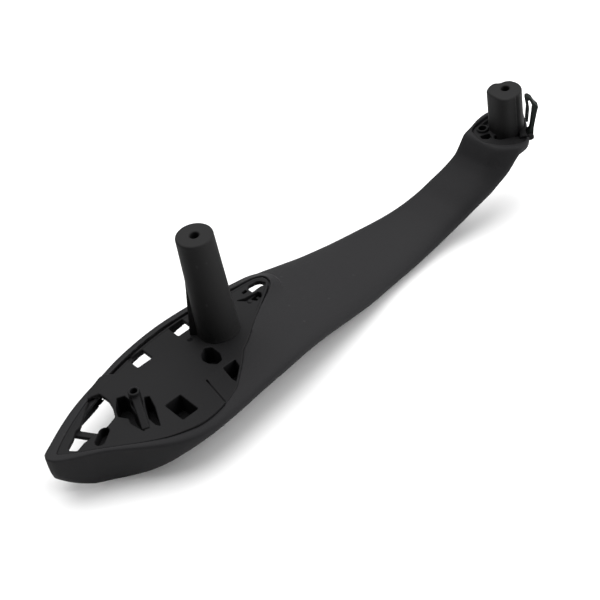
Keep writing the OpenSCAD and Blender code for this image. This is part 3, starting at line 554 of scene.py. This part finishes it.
# ------------------------------------------------------------------ materials
def plastic(name, base, rough, grain, bump, spec=0.5, tint=0.12, edge_highlight_amt=0.04):
    m = bpy.data.materials.new(name)
    m.use_nodes = True
    t = m.node_tree; N, L = t.nodes, t.links
    b = N["Principled BSDF"]
    co = N.new("ShaderNodeTexCoord")
    n1 = N.new("ShaderNodeTexNoise"); n1.inputs["Scale"].default_value = grain; n1.inputs["Detail"].default_value = 4
    n2 = N.new("ShaderNodeTexNoise"); n2.inputs["Scale"].default_value = 22; n2.inputs["Detail"].default_value = 3
    vo = N.new("ShaderNodeTexVoronoi"); vo.inputs["Scale"].default_value = grain * 0.7
    for n in (n1, n2, vo):
        L.new(co.outputs["Object"], n.inputs["Vector"])
    mix = N.new("ShaderNodeMix"); mix.data_type = "RGBA"
    mix.inputs["A"].default_value = (*[c * (1 - tint) for c in base], 1)
    mix.inputs["B"].default_value = (*[c * (1 + tint) for c in base], 1)
    L.new(n2.outputs["Fac"], mix.inputs["Factor"])
    # convex edges (Pointiness) are mixed towards a lighter base colour: a painted highlight along the rims and edges
    geo = N.new("ShaderNodeNewGeometry")
    ramp = N.new("ShaderNodeMapRange")
    ramp.inputs["From Min"].default_value = 0.52; ramp.inputs["From Max"].default_value = 0.62
    L.new(geo.outputs["Pointiness"], ramp.inputs["Value"])
    edge = N.new("ShaderNodeMix"); edge.data_type = "RGBA"
    edge_highlight_fac = N.new("ShaderNodeMath"); edge_highlight_fac.operation = "MULTIPLY"; edge_highlight_fac.inputs[1].default_value = edge_highlight_amt * 6
    L.new(ramp.outputs["Result"], edge_highlight_fac.inputs[0])
    L.new(edge_highlight_fac.outputs[0], edge.inputs["Factor"])
    L.new(mix.outputs["Result"], edge.inputs["A"])
    edge.inputs["B"].default_value = (*[min(1, c * 2.2 + 0.01) for c in base], 1)
    L.new(edge.outputs["Result"], b.inputs["Base Color"])
    r = N.new("ShaderNodeMapRange")
    r.inputs["To Min"].default_value = rough - 0.07; r.inputs["To Max"].default_value = rough + 0.07
    L.new(n2.outputs["Fac"], r.inputs["Value"])
    L.new(r.outputs["Result"], b.inputs["Roughness"])
    add = N.new("ShaderNodeMath"); add.operation = "MULTIPLY_ADD"; add.inputs[1].default_value = 0.6
    L.new(vo.outputs["Distance"], add.inputs[0]); L.new(n1.outputs["Fac"], add.inputs[2])
    bp = N.new("ShaderNodeBump"); bp.inputs["Strength"].default_value = bump; bp.inputs["Distance"].default_value = 0.0002
    L.new(add.outputs[0], bp.inputs["Height"]); L.new(bp.outputs["Normal"], b.inputs["Normal"])
    b.inputs["Specular IOR Level"].default_value = spec
    return m


M_SHELL = plastic("shell_grained", (0.0150, 0.0148, 0.0158), 0.62, 1500, 0.25, 0.10)
M_PLATE = plastic("plate_moulded", (0.0102, 0.0101, 0.0107), 0.6, 700, 0.16, 0.08)
M_TOWER = plastic("tower_moulded", (0.0146, 0.0145, 0.0148), 0.62, 700, 0.12, 0.08)
M_CORE = plastic("core_moulded", (0.024, 0.024, 0.025), 0.6, 700, 0.16, 0.2)
M_CLIP = plastic("clip_phosphated", (0.012, 0.0145, 0.0135), 0.6, 2200, 0.3, 0.05, edge_highlight_amt=0.08)
# the latch's base colour is far darker than the plate's: painted shade for the deep pocket it sits in
M_LATCH_SHADE = plastic("latch_painted_shade", (0.0045, 0.0045, 0.0047), 0.6, 700, 0.16, 0.08)

# ------------------------------------------------------------------ pieces
Q1 = 1.0
made = [
    ("shell", f_shell, (-119, -54, -27), (226, 31, 21), 0.6 * Q1, M_SHELL, "handle", "shell", ["grip_shell"]),
    ("plate", f_plate, (-113, -49, -14.5), (46, 24, 2.5), 0.42 * Q1, M_PLATE, "handle", "plate", ["carrier_plate"]),
    ("tower_low", f_tower, (-15, -15, -8), (15, 15, 67), 0.45 * Q1, M_TOWER, "handle", "plate", ["lower_tower"]),
    ("boss", f_boss, (-74, -32, -5), (-57, -6, 10), 0.25 * Q1, M_PLATE, "handle", "plate", ["locating_boss"]),
    ("latch", f_latch, (17, -3, -6), (38, 12, 2), 0.22 * Q1, M_LATCH_SHADE, "handle", "plate", ["side_latch"]),
    ("tower_up", f_upper, (198, -31, 8), (224, -6, 44), 0.38 * Q1, M_TOWER, "handle", "plate", ["upper_tower"]),
    ("frame_up", f_frame, (188, -40, 9), (223, 0, 21), 0.28 * Q1, M_PLATE, "handle", "plate", ["upper_frame"]),
    ("clip", f_clip, (207, -40, 13), (221, -25, 47), 0.2 * Q1, M_CLIP, "clip", "clip", ["end_clip"]),
]
for name, f, lo, hi, h, mat, bod, slot_, reps in made:
    V, Q = nets(f, lo, hi, h)
    ob = mesh_object(name, V, Q, mat, bod)
    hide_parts(*reps)
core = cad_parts["core_beam"]
for s in core.material_slots:
    s.material = M_CORE

# ------------------------------------------------------------------ stage
FLOOR_Z = (-25.95 - H) / 1000
me = bpy.data.meshes.new("floor")
W = 6.0
me.from_pydata([(-W, -W, FLOOR_Z), (W, -W, FLOOR_Z), (W, W, FLOOR_Z), (-W, W, FLOOR_Z)], [], [(0, 1, 2, 3)])
floor = bpy.data.objects.new("floor", me)
bpy.context.collection.objects.link(floor)
fm = bpy.data.materials.new("floor_pale"); fm.use_nodes = True
fb = fm.node_tree.nodes["Principled BSDF"]
fb.inputs["Base Color"].default_value = (0.92, 0.92, 0.92, 1)
fb.inputs["Roughness"].default_value = 0.9
fb.inputs["Specular IOR Level"].default_value = 0.0
me.materials.append(fm)

# ------------------------------------------------------------------ camera
CAM_POS = (-298.95, -513.20, 472.41)
CAM_R = ((0.73571, -0.66258, -0.14044), (0.52776, 0.43086, 0.73200), (-0.42450, -0.61266, 0.66667))
cam = bpy.data.cameras.new("cam")
cam.sensor_width = 36; cam.sensor_fit = "HORIZONTAL"; cam.lens = 90
cam.shift_x = -0.5 / 600; cam.shift_y = 0.5 / 600
cam.clip_start = 0.05; cam.clip_end = 50
co = bpy.data.objects.new("cam", cam)
bpy.context.collection.objects.link(co)
rx, ry, rz = [Vector(v) for v in CAM_R]
M = Matrix.Identity(4)
for i in range(3):
    M[i][0], M[i][1], M[i][2] = rx[i], ry[i], rz[i]
    M[i][3] = CAM_POS[i] / 1000
co.matrix_world = M
bpy.context.scene.camera = co

# ------------------------------------------------------------------ light
def area(name, pos, target, size, power, color=(1, 1, 1)):
    l = bpy.data.lights.new(name, "AREA")
    l.shape = "DISK"; l.size = size; l.energy = power; l.color = color
    o = bpy.data.objects.new(name, l)
    bpy.context.collection.objects.link(o)
    d = Vector(target) - Vector(pos)
    o.matrix_world = Matrix.Translation(Vector(pos)) @ d.to_track_quat("-Z", "Y").to_matrix().to_4x4()
    return o


world = bpy.data.worlds.new("world"); world.use_nodes = True
world.node_tree.nodes["Background"].inputs["Color"].default_value = (1, 1, 1, 1)
world.node_tree.nodes["Background"].inputs["Strength"].default_value = 0.10
bpy.context.scene.world = world
C0 = (0.05, -0.01, -0.07)
area("key", (0.36, 0.50, 1.30), C0, 2.5, 49)
area("fill", (1.06, -0.98, 0.72), C0, 1.6, 24)
bpy.context.scene.view_settings.view_transform = "Standard"
bpy.context.scene.view_settings.look = "None"
bpy.context.scene.view_settings.exposure = 0.0
